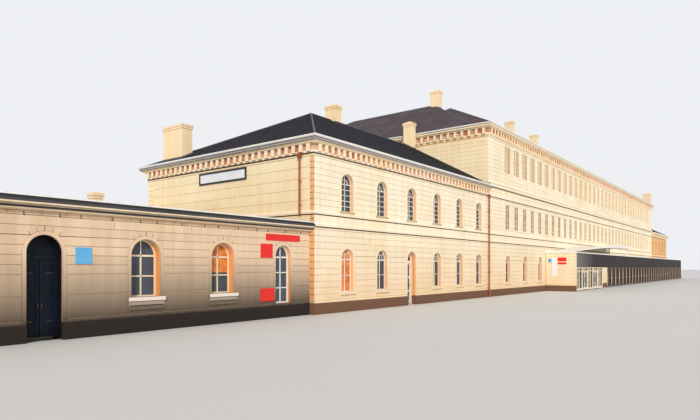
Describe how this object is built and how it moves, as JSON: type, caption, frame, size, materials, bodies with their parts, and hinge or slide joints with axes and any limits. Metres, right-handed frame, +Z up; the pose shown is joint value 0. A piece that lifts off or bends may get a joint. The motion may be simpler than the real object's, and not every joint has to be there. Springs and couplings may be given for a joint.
{
  "type": "railway station building, 1:10 scale model",
  "caption": "Railway station at 1:10: rendered main block, hipped two-storey ends, low wing and glazed annexe, with arched windows and hinged doors.",
  "frame": {"origin": "ground level under the middle of the two-storey block, on the underside of its floor slab", "axes": "+X along the platform front from the wing to the far pavilion, -Y towards the platform, +Z up"},
  "size_m": [13.833, 3.106, 2.056],
  "materials": {
    "stucco": "matte rendered masonry",
    "slate": "matte slate",
    "navy_paint": "satin paint",
    "white_joinery": "satin paint",
    "grey_paint": "satin paint",
    "white_metal": "satin paint",
    "grey_metal": "satin paint",
    "brown_metal": "satin paint",
    "window_glass": "clear",
    "floor_screed": "matte"
  },
  "bodies": {
    "building": {"wing_front_wall_left": "stucco", "wing_front_wall_right": "stucco", "wing_wall_over_portal": "stucco", "wing_rear_wall": "stucco", "wing_end_wall": "stucco", "wing_roof": "slate", "wing_cornice": "stucco", "portal_frame": "navy_paint", "block_front_wall_left": "stucco", "block_front_wall_right": "stucco", "block_wall_over_door": "stucco", "block_end_wall": "stucco", "block_rear_wall": "stucco", "block_cornice": "stucco", "block_roof": "slate", "block_door_frame": "white_joinery", "main_front_wall": "stucco", "main_rear_wall": "stucco", "main_end_walls": "stucco", "main_cornice": "stucco", "main_roof": "slate", "pavilion_front_wall": "stucco", "pavilion_rear_wall": "stucco", "pavilion_end_wall": "stucco", "pavilion_cornice": "stucco", "pavilion_roof": "slate", "rear_wing_walls": "stucco", "rear_wing_cornice": "stucco", "rear_wing_roof": "slate", "annexe_walls": "stucco", "annexe_entrance_frame": "white_metal", "annexe_screen": "white_metal", "annexe_fascia": "grey_metal", "annexe_roof": "white_metal", "annexe_canopy": "white_metal", "ground_floor": "floor_screed", "upper_floors": "floor_screed", "ground_glass": "window_glass", "first_floor_glass": "window_glass", "second_floor_glass": "window_glass", "chimneys": "stucco", "gutters": "white_metal", "downpipes": "brown_metal"},
    "portal_leaf_left": {"portal_leaf_left": "navy_paint"},
    "portal_leaf_right": {"portal_leaf_right": "navy_paint"},
    "block_door": {"block_door": "grey_paint"},
    "annexe_leaf_1": {"annexe_leaf_1": "white_metal"},
    "annexe_leaf_2": {"annexe_leaf_2": "white_metal"},
    "annexe_leaf_3": {"annexe_leaf_3": "white_metal"},
    "annexe_leaf_4": {"annexe_leaf_4": "white_metal"}
  },
  "joints": [
    {"name": "portal_left_hinge", "type": "hinge", "parent": "building", "child": "portal_leaf_left", "pos_m": [-2.4165, -0.664, 0.013], "axis": [0, 0, 1], "range_deg": [0, 90]},
    {"name": "portal_right_hinge", "type": "hinge", "parent": "building", "child": "portal_leaf_right", "pos_m": [-2.3215, -0.664, 0.013], "axis": [0, 0, -1], "range_deg": [0, 90]},
    {"name": "block_door_hinge", "type": "hinge", "parent": "building", "child": "block_door", "pos_m": [-0.1705, -0.697, 0.013], "axis": [0, 0, 1], "range_deg": [0, 90]},
    {"name": "annexe_hinge_1", "type": "hinge", "parent": "building", "child": "annexe_leaf_1", "pos_m": [2.7645, -1.033, 0.013], "axis": [0, 0, -1], "range_deg": [0, 90]},
    {"name": "annexe_hinge_2", "type": "hinge", "parent": "building", "child": "annexe_leaf_2", "pos_m": [2.9575, -1.033, 0.013], "axis": [0, 0, 1], "range_deg": [0, 90]},
    {"name": "annexe_hinge_3", "type": "hinge", "parent": "building", "child": "annexe_leaf_3", "pos_m": [3.1845, -1.033, 0.013], "axis": [0, 0, -1], "range_deg": [0, 90]},
    {"name": "annexe_hinge_4", "type": "hinge", "parent": "building", "child": "annexe_leaf_4", "pos_m": [3.3775, -1.033, 0.013], "axis": [0, 0, 1], "range_deg": [0, 90]}
  ]
}
